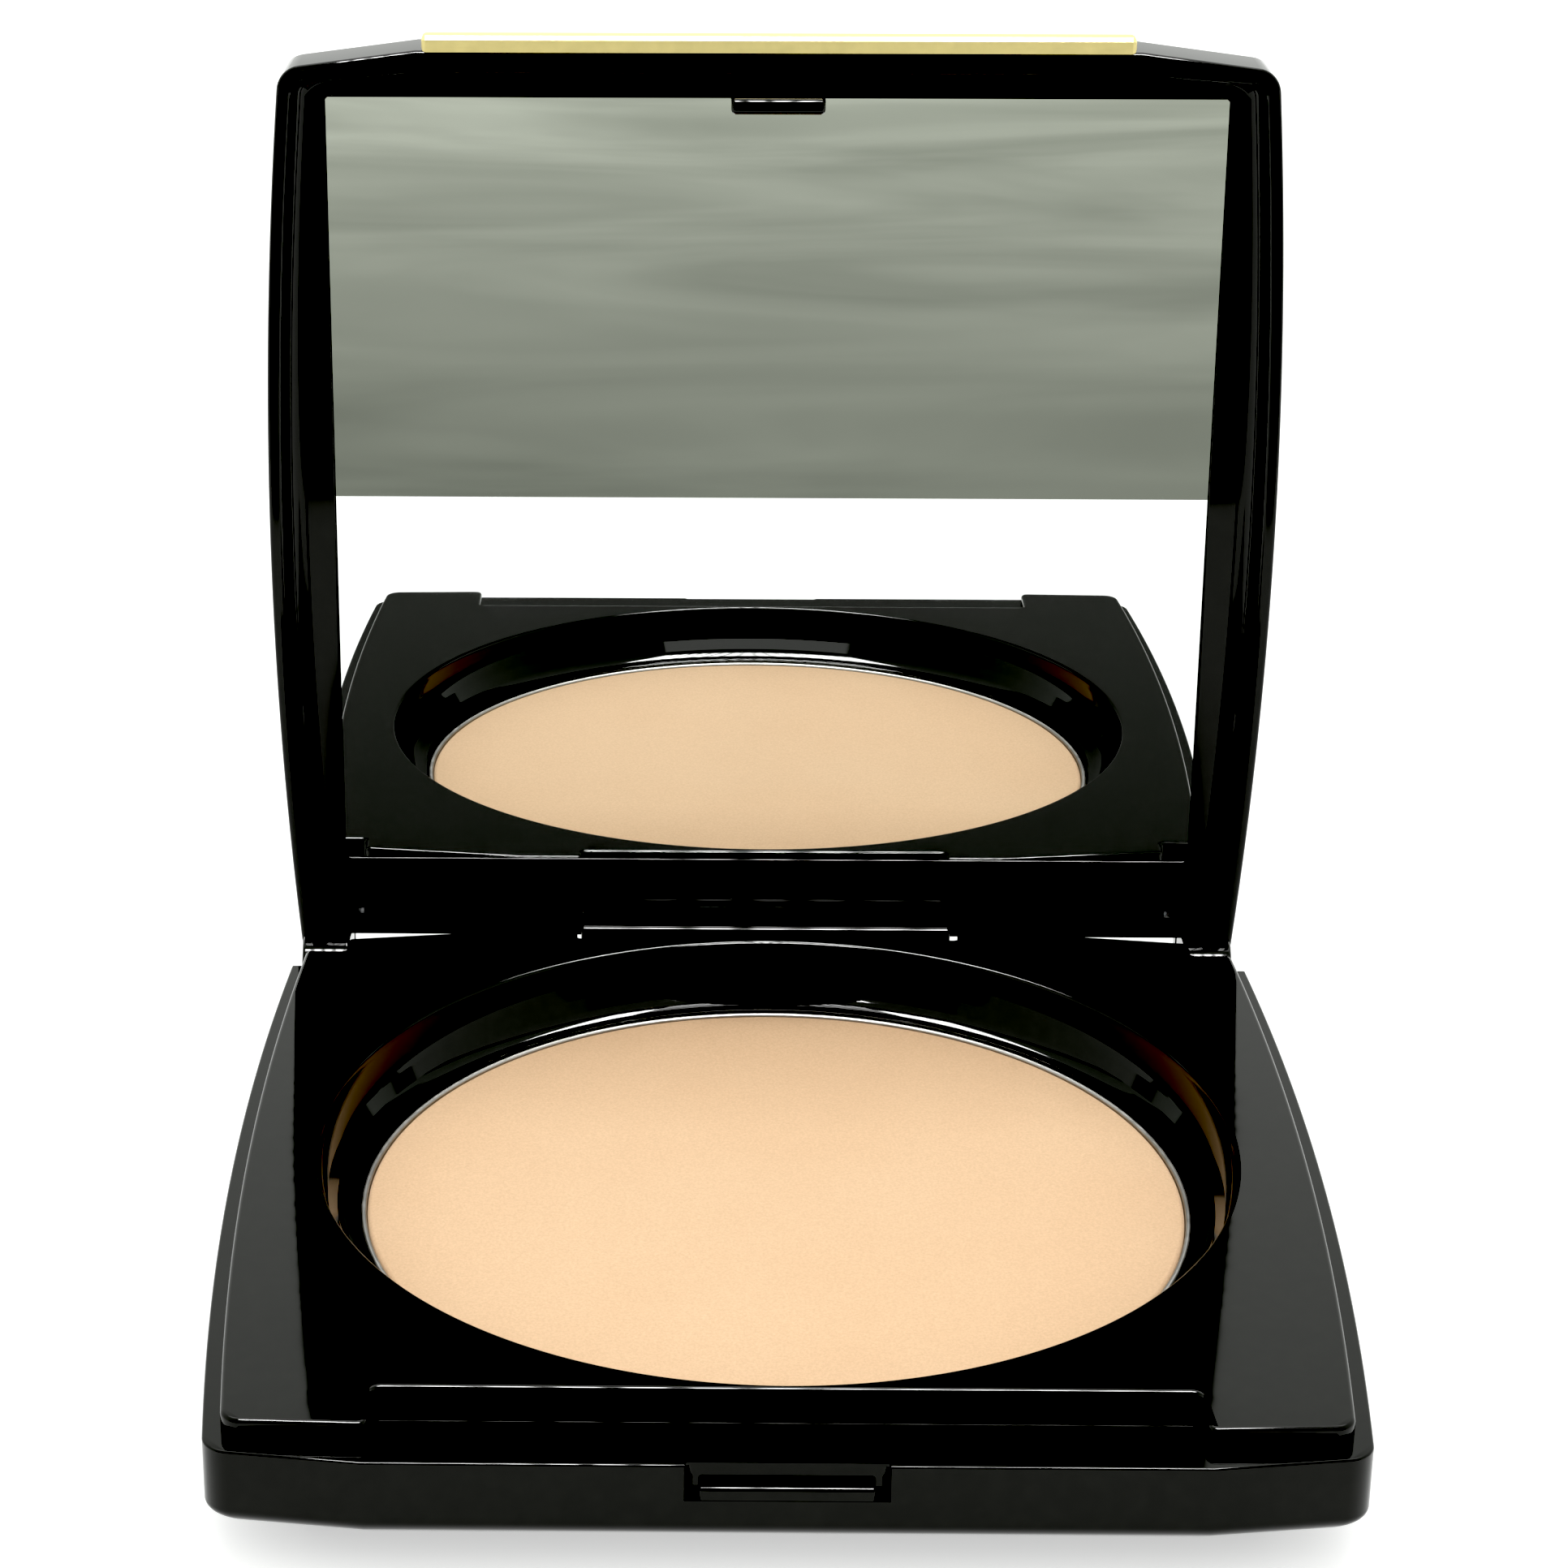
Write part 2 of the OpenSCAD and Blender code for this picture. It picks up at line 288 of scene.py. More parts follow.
def new_object(name, bm, body, closed_lid=False):
    """Turns a bmesh in millimetres into a piece that rides on a body."""
    bmesh.ops.remove_doubles(bm, verts=bm.verts, dist=0.004)
    piece = add_object(name, to_mesh(name, bm, closed_lid))
    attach(piece, body)
    return piece


def weighted(piece):
    """Keeps the flats flat and the fillets round."""
    piece.data.set_sharp_from_angle(angle=math.radians(50))
    mod = piece.modifiers.new("weighted", "WEIGHTED_NORMAL")
    mod.keep_sharp = True
    mod.mode = "FACE_AREA"
    mod.weight = 100
    return piece


def skin(bm, lower, upper):
    """A strip of quads between two loops with the same number of vertices."""
    n = len(lower)
    for i in range(n):
        j = (i + 1) % n
        bm.faces.new((lower[i], lower[j], upper[j], upper[i]))


def loft_loops(bm, loops):
    """Skins loops of points from one to the next. Returns the loops of vertices."""
    loops = [[bm.verts.new(p) for p in loop] for loop in loops]
    for a, b in zip(loops, loops[1:]):
        skin(bm, a, b)
    return loops


def loft(bm, rows):
    """rows: (polygon in plan, z)."""
    return loft_loops(bm, [[(x, y, z) for x, y in poly] for poly, z in rows])


def turned(bm, profile, count):
    """A surface of revolution round the powder's middle. profile: (radius, z)."""
    return loft(bm, [(circle(r, count), z) for r, z in profile])


def cap(bm, loops):
    """Closes both ends of a loft, each with one face."""
    bm.faces.new(list(reversed(loops[0])))
    bm.faces.new(loops[-1])


def fill(bm, *loops):
    """Fills the flat region between an outer loop and the hole in it."""
    edges = []
    for loop in loops:
        for pair in zip(loop, loop[1:] + loop[:1]):
            edges.append(bm.edges.get(pair) or bm.edges.new(pair))
    bmesh.ops.triangle_fill(bm, use_beauty=True, use_dissolve=False, edges=edges)


def rounding(poly, z, radius, steps=4, up=True):
    """Rows that round a top (up) or bottom edge: from the wall to the flat."""
    rows = []
    for g in quarter_turn(steps):
        drop = radius * (1 - math.sin(g))
        rows.append((shrink(poly, radius * (1 - math.cos(g))), z - drop if up else z + drop))
    return rows


def prism_x(bm, profile, x0, x1, edge=0.25):
    """A solid along X with softened ends from a closed (y, z) profile."""
    steps = [(0.0, edge), (edge * 0.3, edge * 0.3), (edge, 0.0)]
    rows = [(x0 + a, b) for a, b in steps] + [(x1 - a, b) for a, b in reversed(steps)]
    cap(bm, loft_loops(bm, [[(x, y, z) for y, z in shrink(profile, inset)] for x, inset in rows]))


def slab(poly, z0, z1):
    """A plain extruded solid, for cutting."""
    bm = bmesh.new()
    cap(bm, loft(bm, [(poly, z0), (poly, z1)]))
    return bm


def cut(piece, cutter_bm, closed_lid=False):
    """Cuts a solid, given in millimetres, out of a piece, and applies it."""
    mesh = to_mesh("cutter", cutter_bm, closed_lid)
    tool = add_object("cutter", mesh)
    mod = piece.modifiers.new("cutter", "BOOLEAN")
    mod.operation = "DIFFERENCE"
    mod.solver = "EXACT"
    mod.object = tool
    graph = bpy.context.evaluated_depsgraph_get()
    result = bpy.data.meshes.new_from_object(piece.evaluated_get(graph))
    piece.modifiers.remove(mod)
    old = piece.data
    piece.data = result
    result.name = old.name
    bpy.data.meshes.remove(old)
    bpy.data.objects.remove(tool)
    bpy.data.meshes.remove(mesh)
    smooth(result)


# ---------------------------------------------------------------- pieces: tray side
def tray_pocket():
    """The deck's pocket: it follows the case, and is cut straight behind the latch ledge."""
    front_y = RECESS_Y + 0.8
    corner_x = side_x(front_y, POCKET_IN)
    outline = case_outline(POCKET_IN, POCKET_IN, POCKET_REAR)
    right, left = halves([p for p in outline if p[1] > front_y + 0.8])
    return [(corner_x, front_y)] + right + left + [(-corner_x, front_y)]


def make_tray():
    bm = bmesh.new()
    # underside, flank, the soft knee into the upright edge, and its rounded top
    rows = [(even_outline(FLANK_IN + 0.5), 0.0), (even_outline(FLANK_IN - 0.3), 0.12)]
    slope = FLANK_Z / FLANK_IN
    rows += [(even_outline(inset), FLANK_Z - inset * slope) for inset in (4.5, 3.0, 1.8)]
    for g in (i / 5 for i in range(1, 6)):
        knee = even_outline(KNEE_IN * (1 - g) ** 2)
        rows.append((knee, FLANK_Z - KNEE_DOWN * (1 - g) + KNEE_UP * g))
    rows += rounding(case_outline(), SEAM_Z, TRAY_ROUND)
    loops = loft(bm, rows)
    bm.faces.new(list(reversed(loops[0])))
    # pocket for the deck, the shoulder round the pan, and the pan's well
    pocket = tray_pocket()
    walls = loft(bm, [(pocket, SEAM_Z), (pocket, SHOULDER_Z)])
    well = turned(bm, [(PAN_R + 0.1, SHOULDER_Z), (PAN_R + 0.1, WELL_Z)], 160)
    fill(bm, loops[-1], walls[0])
    fill(bm, walls[-1], well[0])
    bm.faces.new(well[1])
    tray = new_object("tray_shell", bm, "base")
    # hinge notches, latch slot and thumb scoop
    for s in (-1, 1):
        x0, x1 = sorted((s * EAR_NOTCH_X, s * BEYOND))
        cut(tray, slab(rect(x0, EAR_NOTCH_Y, x1, BEYOND), BELOW, ABOVE))
    notch_y = AXIS.y - KNUCKLE_R - 0.3
    cut(tray, slab(rect(-TONGUE_NOTCH_X, notch_y, TONGUE_NOTCH_X, BEYOND), BELOW, ABOVE))
    slot = rect(-SLOT_HW, SLOT_Y, SLOT_HW, SLOT_Y + 1.6, 0.35)
    cut(tray, slab(slot, SEAM_Z - SLOT_DEEP, SEAM_Z + 1))
    for depth, radius, top in ((0.9, 0.7, SEAM_Z - 0.22), (0.35, 0.3, SEAM_Z + 1)):
        scoop = rect(-SCOOP_HW, -END_Y - 3, SCOOP_HW, -END_Y + depth, radius)
        cut(tray, slab(scoop, SCOOP_Z, top))
    weighted(tray)
    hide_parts("base_tray")
    return tray


def make_scoop_grip():
    """The grip block inside the thumb scoop, rounded along its top."""
    bm = bmesh.new()
    y0, y1, z0, z1 = -END_Y + 0.02, -END_Y + 0.8, 6.3, 7.3
    profile = rounded([(y0, z0), (y1, z0), (y1, z1, 0.25), (y0, z1, 0.3)])
    prism_x(bm, profile, -GRIP_HW, GRIP_HW, 0.2)
    return weighted(new_object("scoop_grip", bm, "base"))


def cove_profile():
    """(radius, height) from the pan's edge up the cove to the deck."""
    cove_h = DECK_Z - LIP_R - COVE_Z
    rows = [(COVE_R + (MOUTH_R - COVE_R) * math.sin(g), COVE_Z + cove_h * (1 - math.cos(g)))
            for g in quarter_turn(24)]
    rows += [(MOUTH_R + LIP_R * (1 - math.cos(g)), DECK_Z - LIP_R * (1 - math.sin(g)))
             for g in quarter_turn(5, 1)]
    return rows


def make_deck():
    bm = bmesh.new()
    outer = deck_outline()
    count = 200
    loops = loft(bm, [(outer, DECK_FOOT_Z)] + rounding(outer, DECK_Z, 0.3, 5))
    bowl = turned(bm, cove_profile(), count)
    foot = turned(bm, [(COVE_R, COVE_Z), (COVE_R, POWDER_Z - 0.3),
                       (COVE_R + 0.6, POWDER_Z - 0.3), (MOUTH_R + 0.24, DECK_FOOT_Z)], count)
    fill(bm, loops[-1], bowl[-1])
    fill(bm, loops[0], foot[-1])
    deck = weighted(new_object("deck", bm, "base"))
    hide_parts("deck_frame")
    return deck


def make_powder():
    """Pressed powder with a soft rolled edge."""
    bm = bmesh.new()
    edge = 0.35
    rows = [(POWDER_R, POWDER_FLOOR)]
    rows += [(POWDER_R - edge * (1 - math.cos(g)), POWDER_Z - edge * (1 - math.sin(g)))
             for g in quarter_turn(6)]
    rows += [(POWDER_R * f, POWDER_Z) for f in (0.9, 0.75, 0.6, 0.45, 0.3, 0.15)]
    cap(bm, turned(bm, rows, 180))
    cake = weighted(new_object("pressed_powder", bm, "base"))
    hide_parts("powder_cake")
    return cake


def make_pan():
    """Drawn aluminium pan; only its rolled rim shows."""
    bm = bmesh.new()
    floor = PAN_LO.z
    half = PAN_WALL / 2
    inner, mid, outer = PAN_R - PAN_WALL, PAN_R - half, PAN_R
    roll_z = POWDER_Z + 0.1 - half
    rows = [(outer - 0.6, floor), (outer - 0.15, floor + 0.15), (outer, floor + 0.6)]
    rows.append((outer, roll_z))
    rows += [(mid + half * math.cos(g), roll_z + half * math.sin(g))
             for g in (math.pi * i / 8 for i in range(1, 8))]
    rows += [(inner, roll_z), (inner, floor + PAN_WALL)]
    cap(bm, turned(bm, rows, 180))
    pan = weighted(new_object("pan_rim", bm, "base"))
    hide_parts("powder_pan")
    return pan


# ---------------------------------------------------------------- pieces: lid side, drawn closed
def arm_profile(top_z, front_y, back_y, neck_y=None):
    """(y, z) outline of a knuckle with its arm rising to top_z."""
    neck_y = front_y if neck_y is None else neck_y
    start = math.acos(max(-1.0, min(1.0, (neck_y - AXIS.y) / KNUCKLE_R)))
    end = math.acos(max(-1.0, min(1.0, (back_y - AXIS.y) / KNUCKLE_R)))
    arc = [(AXIS.y + KNUCKLE_R * math.cos(g), AXIS.z + KNUCKLE_R * math.sin(g))
           for g in (start + (2 * math.pi + end - start) * i / 26 for i in range(27))]
    top = [(back_y, top_z), (front_y, top_z)]
    if neck_y != front_y:
        top += [(front_y, 8.0), (front_y + 0.6, 7.4)]
    return arc + top


def lid_inner_wall():
    """Rows from the rounded rim up the upright wall and over the cove to the mirror's plate."""
    rim = case_outline(RIM_SIDE, RIM_END, RIM_END, RIM_CORNER_R, RIM_FALL)
    rows = [(shrink(rim, -0.25), RIM_Z), (shrink(rim, -0.07), RIM_Z + 0.07),
            (rim, RIM_Z + 0.25), (rim, RIM_Z + WALL_UPRIGHT)]
    cove_h = PLATE_Z - RIM_Z - WALL_UPRIGHT
    for g in quarter_turn(8, 1):
        part = 1 - math.cos(g)
        side = RIM_SIDE + 1.45 * part
        front = RIM_END + 0.5 * part
        fall = RIM_FALL + (FALL_BACK - RIM_FALL) * part
        rows.append((case_outline(side, front, RIM_END, RIM_CORNER_R, fall),
                     RIM_Z + WALL_UPRIGHT + cove_h * math.sin(g)))
    return rows


def tail_cutter():
    """A half space, between the ears, whose face leans back from the deck."""
    bm = bmesh.new()
    far = 30
    bmesh.ops.create_cube(bm, size=1)
    bmesh.ops.scale(bm, vec=(2 * EAR_X0, far, 2 * far), verts=bm.verts)
    bmesh.ops.translate(bm, vec=(0, far / 2, 0), verts=bm.verts)
    bmesh.ops.rotate(bm, cent=(0, 0, 0), matrix=Matrix.Rotation(-TAIL_LEAN, 3, "X"), verts=bm.verts)
    bmesh.ops.translate(bm, vec=(0, TAIL_Y, PLATE_Z), verts=bm.verts)
    return bm


def make_lid():
    bm = bmesh.new()
    outer = case_outline()
    rows = list(reversed(rounding(outer, RIM_Z, 0.3, up=False)))
    rows.append((outer, WALL_TOP))
    crown_h = LID_TOP - WALL_TOP
    rows += [(even_outline(CROWN_IN * (1 - math.cos(g))), WALL_TOP + crown_h * math.sin(g))
             for g in quarter_turn(10, 1)]
    outside = loft(bm, rows)
    bm.faces.new(outside[-1])
    inside = loft(bm, lid_inner_wall())
    seat = case_outline(2.55, 2.25, POCKET_REAR, RIM_CORNER_R)
    ceiling = loft(bm, [(seat, PLATE_Z), (seat, CEILING_Z)])
    fill(bm, outside[0], inside[0])
    fill(bm, inside[-1], ceiling[0])
    bm.faces.new(list(reversed(ceiling[-1])))
    lid = new_object("lid_case", bm, "lid", closed_lid=True)
    cut(lid, tail_cutter(), closed_lid=True)
    weighted(lid)
    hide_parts("lid_shell")
    return lid


def make_lid_arms():
    """Ears at the rear corners and the wide tongue between them."""
    back = AXIS.y + 1.5
    pieces = []
    for name, s in (("left", -1), ("right", 1)):
        bm = bmesh.new()
        x0, x1 = sorted((s * EAR_X0, s * EAR_X1))
        ear = arm_profile(EDGE_Z - 0.6, EAR_NOTCH_Y + 0.3, back, AXIS.y - 1.7)
        prism_x(bm, ear, x0, x1)
        pieces.append(weighted(new_object(f"ear_{name}", bm, "lid",
                                          closed_lid=True)))
    root_z = EDGE_Z - 0.4
    tongue = arm_profile(root_z, DECK_NOTCH_Y + 0.2, back)
    shelf = rounded([(33.5, 11.0, 0.5), (AXIS.y, 11.0, 0.5),
                     (AXIS.y, root_z, 0.5), (33.5, root_z, 0.5)])
    for name, profile in (("tongue", tongue), ("tongue_root", shelf)):
        bm = bmesh.new()
        prism_x(bm, profile, -TONGUE_X, TONGUE_X)
        pieces.append(weighted(new_object(name, bm, "lid", closed_lid=True)))
    return pieces


def make_mirror_frame():
    """The black plate round the mirror, with a rounded window."""
    bm = bmesh.new()
    edge = 0.12
    right, left = halves([p for p in case_outline(2.6, 2.3, 0.0, RIM_CORNER_R)
                          if p[1] < PLATE_REAR - 0.5])
    x = side_x(PLATE_REAR, 2.6)
    plate = right + [(x, PLATE_REAR), (-x, PLATE_REAR)] + left
    m = 0.06
    hole = rect(-MIRROR_W / 2 - m, MIRROR_FRONT - m,
                MIRROR_W / 2 + m, MIRROR_FRONT + MIRROR_H + m, 0.5)
    outside = loft(bm, [(plate, CEILING_Z)] + rounding(plate, PLATE_Z, edge, up=False))
    inside = loft(bm, [(hole, CEILING_Z)]
                  + [(shrink(hole, -edge * (1 - math.cos(g))), PLATE_Z + edge * (1 - math.sin(g)))
                     for g in quarter_turn(4)])
    fill(bm, outside[0], inside[0])
    fill(bm, outside[-1], inside[-1])
    plate_piece = weighted(new_object("mirror_plate", bm, "lid", closed_lid=True))
    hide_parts("mirror_frame")
    return plate_piece


def make_hook():
    """Latch hook: a straight arm with a chamfered toe."""
    bm = bmesh.new()
    y0, y1, toe, root = -END_Y + 2.95, -END_Y + 4.25, SEAM_Z - 2.1, CEILING_Z - 0.6
    profile = [(y0, toe + 0.4), (y0 + 0.4, toe), (y1 - 0.2, toe), (y1, toe + 0.25),
               (y1, root), (y0, root)]
    prism_x(bm, profile, -3.5, 3.5, 0.3)
    return weighted(new_object("latch_hook", bm, "lid", closed_lid=True))


def make_trim_bar():
    """A metal bar along the lid's thumb edge, with chamfered outer edges and flat faces."""
    bm = bmesh.new()
    lo_z, hi_z = RIM_Z, RIM_Z + 1.75
    y0, y1 = -END_Y - 1.1, -END_Y + 0.1
    c = 0.28
    profile = [(y0 + c, lo_z), (y1, lo_z), (y1, hi_z), (y0 + c, hi_z), (y0, hi_z - c),
               (y0, lo_z + c)]
    prism_x(bm, profile, -BAR_L / 2, BAR_L / 2, 0.3)
    bar = new_object("gold_bar", bm, "lid", closed_lid=True)
    for p in bar.data.polygons:
        p.use_smooth = False
    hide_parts("trim_bar")
    return bar


# ---------------------------------------------------------------- materials
def material(name):
    mat = bpy.data.materials.new(name)
    mat.use_nodes = True
    tree = mat.node_tree
    return mat, tree, tree.nodes["Principled BSDF"]


def object_place(tree):
    return tree.nodes.new("ShaderNodeTexCoord").outputs["Object"]


def object_y(tree):
    split = tree.nodes.new("ShaderNodeSeparateXYZ")
    tree.links.new(object_place(tree), split.inputs["Vector"])
    return split.outputs["Y"]


def noise(tree, scale, detail, roughness, place=None, distortion=0.0):
    node = tree.nodes.new("ShaderNodeTexNoise")
    node.inputs["Scale"].default_value = scale
    node.inputs["Detail"].default_value = detail
    node.inputs["Roughness"].default_value = roughness
    node.inputs["Distortion"].default_value = distortion
    tree.links.new(object_place(tree) if place is None else place, node.inputs["Vector"])
    return node.outputs["Fac"]


def ramp(tree, source, low, high, a, b):
    """Maps low..high of a value to the range a..b."""
    node = tree.nodes.new("ShaderNodeMapRange")
    node.inputs["From Min"].default_value = low
    node.inputs["From Max"].default_value = high
    node.inputs["To Min"].default_value = a
    node.inputs["To Max"].default_value = b
    tree.links.new(source, node.inputs["Value"])
    return node.outputs["Result"]


def bump(tree, shader, height, strength, distance):
    node = tree.nodes.new("ShaderNodeBump")
    node.inputs["Strength"].default_value = strength
    node.inputs["Distance"].default_value = distance
    tree.links.new(height, node.inputs["Height"])
    tree.links.new(node.outputs["Normal"], shader.inputs["Normal"])


def mix_colour(tree, factor, first, second):
    node = tree.nodes.new("ShaderNodeMix")
    node.data_type = "RGBA"
    node.inputs["A"].default_value = first + (1,)
    node.inputs["B"].default_value = second + (1,)
    tree.links.new(factor, node.inputs["Factor"])
    return node.outputs["Result"]


def tinted(tree, factor, source, tint):
    """Multiplies a colour by a tint, by as much as the factor says."""
    node = tree.nodes.new("ShaderNodeMix")
    node.data_type = "RGBA"
    node.blend_type = "MULTIPLY"
    node.inputs["B"].default_value = tint + (1,)
    tree.links.new(factor, node.inputs["Factor"])
    tree.links.new(source, node.inputs["A"])
    return node.outputs["Result"]


def black_plastic():
    """Polished black: a trace of mould waviness, fine dust haze in the colour."""
    mat, tree, shader = material("polished_black")
    haze = ramp(tree, noise(tree, 900, 4, 0.6), 0.4, 0.7, 0, 1)
    colour = mix_colour(tree, haze, (0.0008, 0.0009, 0.0008), (0.0025, 0.0026, 0.0022))
    tree.links.new(colour, shader.inputs["Base Color"])
    smear = ramp(tree, noise(tree, 60, 3, 0.6), 0.35, 0.7, 0.03, 0.08)
    tree.links.new(smear, shader.inputs["Roughness"])
    shader.inputs["IOR"].default_value = 1.5
    shader.inputs["Specular IOR Level"].default_value = 0.34
    bump(tree, shader, noise(tree, 45, 1, 0.4), 0.10, 0.0001)
    return mat


def powder_material():
    """Fine grain with soft patches, and painted shade that darkens it along the rear edge as in the
    photo.
    """
    mat, tree, shader = material("pressed_powder")
    fine = noise(tree, 5200, 4, 0.7)
    broad = ramp(tree, noise(tree, 70, 3, 0.5), 0.4, 0.7, 0, 0.5)
    grain = mix_colour(tree, ramp(tree, fine, 0.3, 0.7, 0, 1),
                       (0.69, 0.455, 0.275), (0.81, 0.555, 0.35))
    patches = tinted(tree, broad, grain, (0.96, 0.93, 0.90))
    # painted shade: the colour is multiplied darker towards the powder's rear edge, standing in for
    # the shade that the cove wall and the lid cast there
    rear = ramp(tree, object_y(tree), 0.012, 0.034, 0, 1)
    tree.links.new(tinted(tree, rear, patches, (0.74, 0.70, 0.66)), shader.inputs["Base Color"])
    tree.links.new(ramp(tree, fine, 0.2, 0.8, 0.75, 0.95), shader.inputs["Roughness"])
    shader.inputs["Specular IOR Level"].default_value = 0.25
    shader.inputs["Sheen Weight"].default_value = 0.15
    bump(tree, shader, fine, 0.25, 0.00006)
    return mat


def metal_material(name, colour, low, high, scale, metallic=1.0):
    mat, tree, shader = material(name)
    grain = noise(tree, scale, 4, 0.6)
    darker = tuple(c * 0.9 for c in colour)
    tree.links.new(mix_colour(tree, grain, darker, colour), shader.inputs["Base Color"])
    shader.inputs["Metallic"].default_value = metallic
    tree.links.new(ramp(tree, grain, 0.3, 0.7, low, high), shader.inputs["Roughness"])
    bump(tree, shader, grain, 0.08, 0.00002)
    return mat


def mirror_material():
    """Silvered glass: a little grey-green, with a trace of haze."""
    mat, tree, shader = material("silvered_glass")
    haze = noise(tree, 120, 3, 0.6)
    tint = mix_colour(tree, haze, (0.82, 0.835, 0.82), (0.85, 0.865, 0.85))
    tree.links.new(tint, shader.inputs["Base Color"])
    shader.inputs["Metallic"].default_value = 1.0
    tree.links.new(ramp(tree, haze, 0.3, 0.7, 0.0, 0.012), shader.inputs["Roughness"])
    return mat


def glue_material():
    mat, tree, shader = material("glue")
    lumps = noise(tree, 300, 3, 0.5)
    tint = mix_colour(tree, lumps, (0.62, 0.58, 0.46), (0.72, 0.69, 0.58))
    tree.links.new(tint, shader.inputs["Base Color"])
    tree.links.new(ramp(tree, lumps, 0.3, 0.7, 0.4, 0.6), shader.inputs["Roughness"])
    bump(tree, shader, lumps, 0.3, 0.0001)
    return mat


def cloth_material():
    """Grey-green cloth, flat, with the light and shade of soft creases painted into its colour and
    painted shade towards the end by the case; only ever seen in the mirror.
    """
    mat, tree, shader = material("front_cloth")
    stretch = tree.nodes.new("ShaderNodeMapping")
    stretch.inputs["Scale"].default_value = (5, 11, 1)
    tree.links.new(object_place(tree), stretch.inputs["Vector"])
    # painted light and shade: fold bands painted into the colour of a flat sheet
    painted_fold_shade = noise(tree, 1.6, 3, 0.5, stretch.outputs["Vector"], 1.2)
    tint = mix_colour(tree, ramp(tree, painted_fold_shade, 0.3, 0.7, 0, 1),
                      (0.24, 0.255, 0.212), (0.42, 0.435, 0.375))
    # painted shade: the cloth is multiplied darker towards its end by the case
    painted_near_shade = ramp(tree, object_y(tree), -0.36, -0.14, 0, 1)
    tree.links.new(tinted(tree, painted_near_shade, tint, (0.42, 0.43, 0.41)), shader.inputs["Base Color"])
    shader.inputs["Roughness"].default_value = 0.9
    return mat


def grey_material(name, grey, rough, glow=0.0):
    mat, _, shader = material(name)
    shader.inputs["Base Color"].default_value = (grey, grey, grey, 1)
    shader.inputs["Roughness"].default_value = rough
    shader.inputs["Specular IOR Level"].default_value = 0.2
    shader.inputs["Emission Color"].default_value = (1, 1, 1, 1)
    shader.inputs["Emission Strength"].default_value = glow
    return mat


def glowing(name, strength):
    mat = bpy.data.materials.new(name)
    mat.use_nodes = True
    tree = mat.node_tree
    tree.nodes.clear()
    out = tree.nodes.new("ShaderNodeOutputMaterial")
    glow = tree.nodes.new("ShaderNodeEmission")
    glow.inputs["Strength"].default_value = strength
    tree.links.new(glow.outputs["Emission"], out.inputs["Surface"])
    return mat


def dress(piece, mat):
    piece.data.materials.clear()
    piece.data.materials.append(mat)


def dress_node(node, mat):
    """A CAD node keeps its mesh and takes a better material in its slots."""
    for s in frame["nodes"][node].material_slots:
        s.material = mat


# ---------------------------------------------------------------- setting, in metres
TABLE_HALF = 3.0
CLOTH_X, CLOTH_FAR, CLOTH_NEAR, CLOTH_Z = 0.5, -0.62, -0.103, 0.0006
FLAG_X, FLAG_Y, FLAG_H = 1.2, -0.8, 1.3
LAMP_PITCH, LAMP_W, LAMP_Z = 0.0125, 0.008, 0.5
LAMP_FAR, LAMP_NEAR = -0.24, -0.06
LAMPS_A_SIDE = 9

SENSOR_MM, LENS_MM = 36, 94.8447
SHIFT_X, SHIFT_Y = 0.098965, 0.027536   # the photo is cropped off its centre of view


def panel(name, corners, mat):
    mesh = bpy.data.meshes.new(name)
    mesh.from_pydata(corners, [], [(0, 1, 2, 3)])
    mesh.materials.append(mat)
    sheet = add_object(name, mesh)
    return sheet


def level(x0, y0, x1, y1, z):
    return [(x0, y0, z), (x1, y0, z), (x1, y1, z), (x0, y1, z)]


def area_light(name, place, target, size, power):
    data = bpy.data.lights.new(name, "AREA")
    data.shape = "RECTANGLE"
    data.size, data.size_y = size
    data.energy = power
    lamp = add_object(name, data)
    lamp.location = place
    aim = Vector(target) - Vector(place)
    lamp.rotation_euler = aim.to_track_quat("-Z", "Y").to_euler()
    return lamp


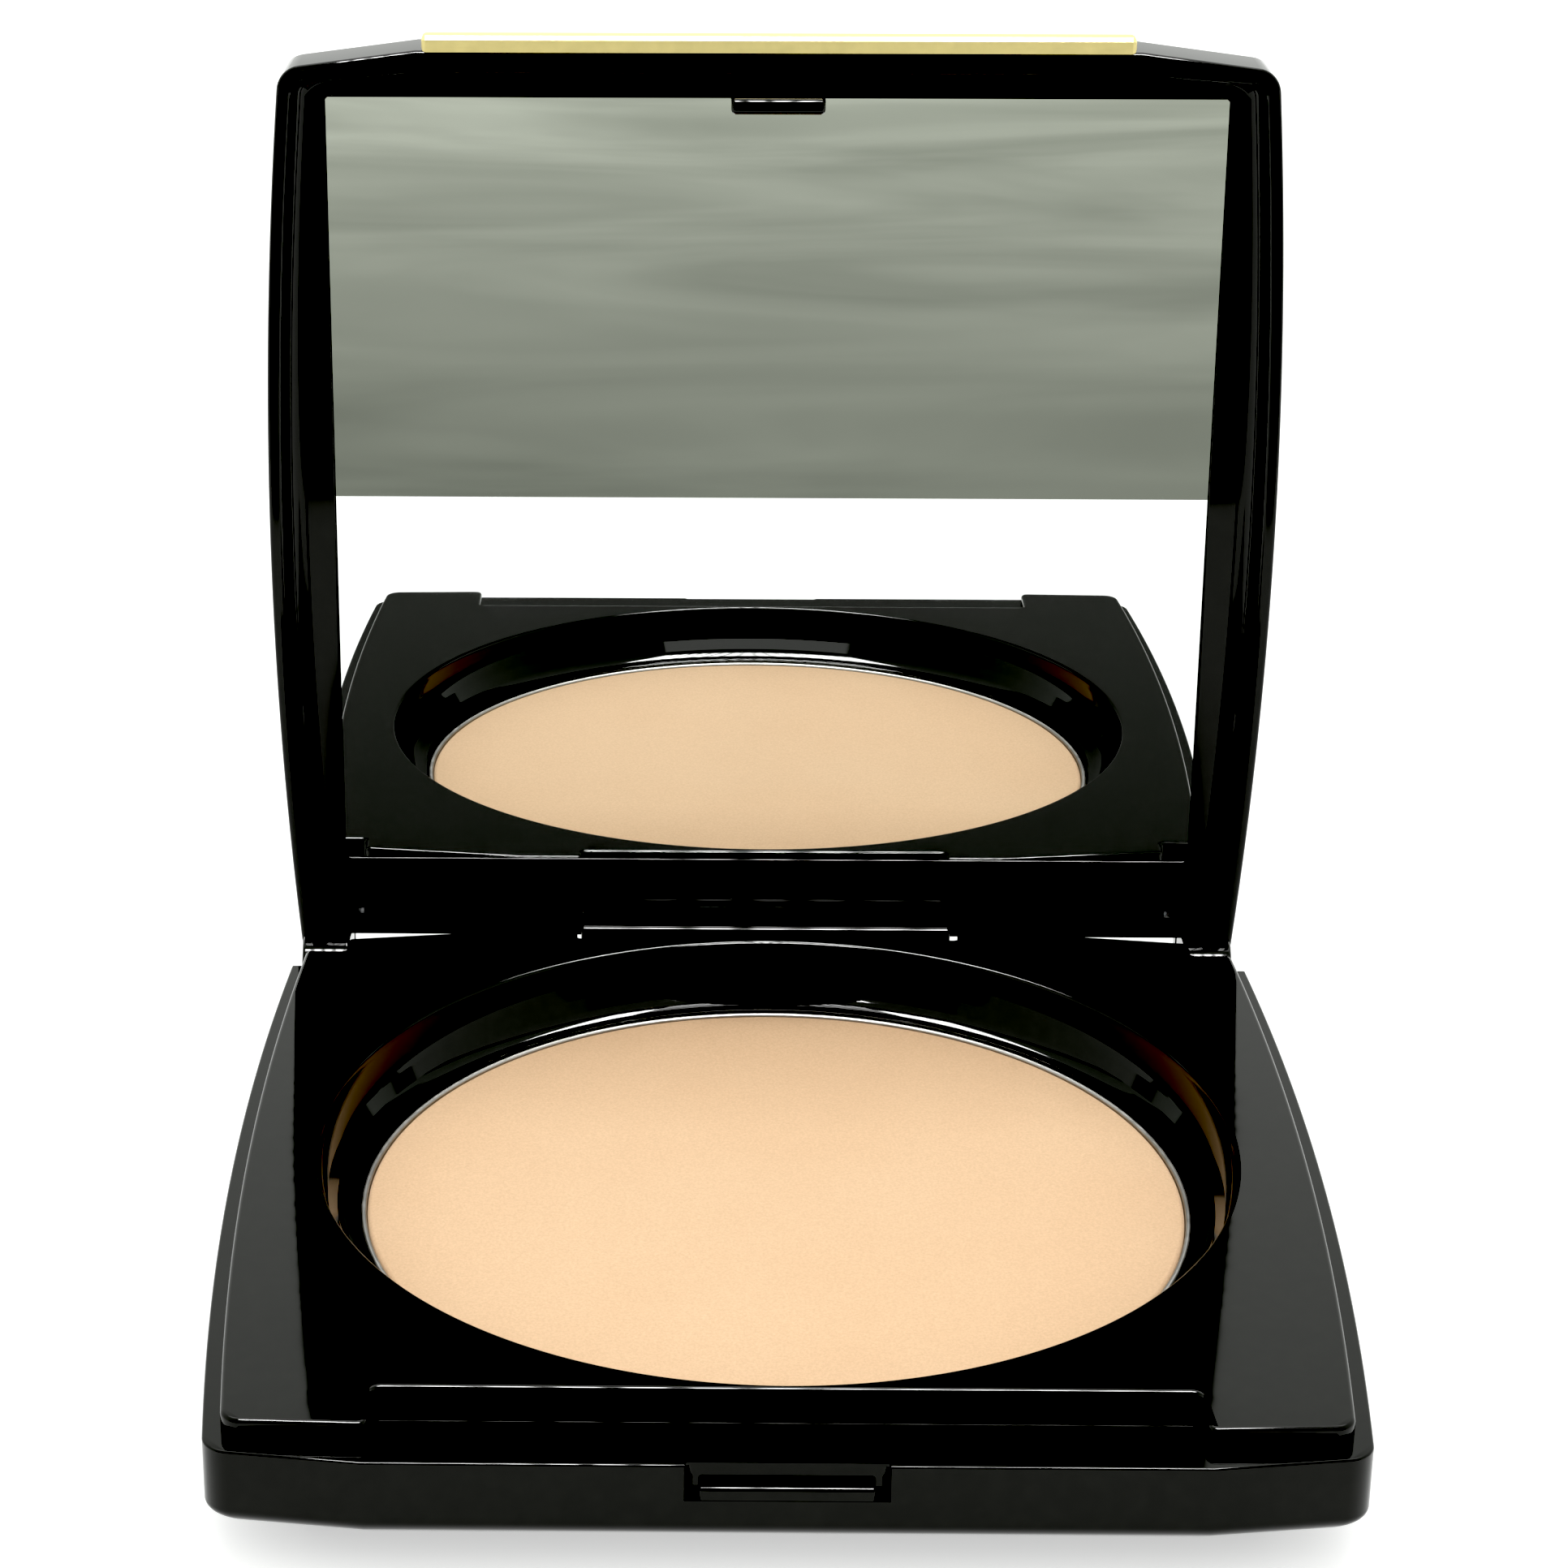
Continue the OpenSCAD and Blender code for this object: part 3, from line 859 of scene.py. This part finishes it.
def make_setting():
    """A white table, and what the photo's room puts into the reflections."""
    panel("table", level(-TABLE_HALF, -TABLE_HALF, TABLE_HALF, TABLE_HALF, 0),
          grey_material("table_white", 0.72, 0.6, glow=0.5))
    hidden = [panel("front_cloth", level(-CLOTH_X, CLOTH_FAR, CLOTH_X, CLOTH_NEAR, CLOTH_Z),
                    cloth_material()),
              panel("dark_flag", [(-FLAG_X, FLAG_Y, 0), (FLAG_X, FLAG_Y, 0),
                                  (FLAG_X, FLAG_Y, FLAG_H), (-FLAG_X, FLAG_Y, FLAG_H)],
                    grey_material("flag_grey", 0.22, 0.9))]
    bright = glowing("lamp_bars", 65.0)
    for i in range(2 * LAMPS_A_SIDE + 1):
        x = LAMP_PITCH * (i - LAMPS_A_SIDE) - LAMP_W / 2
        face_down = list(reversed(level(x, LAMP_FAR, x + LAMP_W, LAMP_NEAR, LAMP_Z)))
        hidden.append(panel(f"lamp_bar_{i}", face_down, bright))
    for sheet in hidden:
        sheet.visible_camera = False
        sheet.visible_diffuse = False
        sheet.visible_shadow = False
    area_light("overhead", (0, 0.36, 0.75), (0, 0, 0), (0.7, 0.35), 1.6)
    rear = area_light("rear_wash", (0, 1.0, 0.7), (0, 0.4, 0), (1.4, 0.4), 1.2)
    front = area_light("front_soft", (0.1, -0.55, 0.6), (0, -0.02, 0.0), (0.7, 0.4), 0.4)
    for lamp in (rear, front):
        lamp.visible_glossy = False


def make_world():
    world = bpy.data.worlds.new("room")
    world.use_nodes = True
    back = world.node_tree.nodes["Background"]
    back.inputs["Color"].default_value = (0.94, 0.96, 0.93, 1)
    back.inputs["Strength"].default_value = 1.25
    bpy.context.scene.world = world


def set_view():
    """The photo's contrast: its blacks are clipped."""
    view = bpy.context.scene.view_settings
    view.view_transform = "Standard"
    view.use_curve_mapping = True
    view.curve_mapping.black_level = (0.033, 0.033, 0.034)
    view.curve_mapping.update()


def make_camera():
    """The viewing point, as an offset from the middle of the powder at the deck's height."""
    data = bpy.data.cameras.new("camera")
    camera = add_object("camera", data)
    camera.location = (Vector((0.0, PAN_Y, DECK_Z)) + Vector((-7.15, -262.3, 142.2))) * MM
    pitch, yaw = math.radians(24.13), math.radians(0.75)
    camera.rotation_euler = (math.pi / 2 - pitch, 0, yaw)
    data.sensor_width, data.lens = SENSOR_MM, LENS_MM
    data.shift_x, data.shift_y = SHIFT_X, SHIFT_Y
    data.clip_start, data.clip_end = 0.01, 10
    bpy.context.scene.camera = camera


make_camera()
black = black_plastic()
for make in (make_tray, make_scoop_grip, make_deck, make_lid, make_mirror_frame, make_hook):
    dress(make(), black)
for arm in make_lid_arms():
    dress(arm, black)
dress(make_powder(), powder_material())
dress(make_pan(), metal_material("aluminium", (0.40, 0.39, 0.37), 0.34, 0.48, 900))
dress(make_trim_bar(), metal_material("gold", (0.88, 0.75, 0.34), 0.34, 0.44, 1500, 0.7))
dress_node("mirror_glass", mirror_material())
steel = metal_material("steel", (0.55, 0.55, 0.56), 0.2, 0.35, 1200)
glue = glue_material()
for node in ("hinge_pin_left", "hinge_pin_right"):
    dress_node(node, steel)
for node in ("pan_glue", "mirror_glue"):
    dress_node(node, glue)
make_setting()
make_world()
set_view()
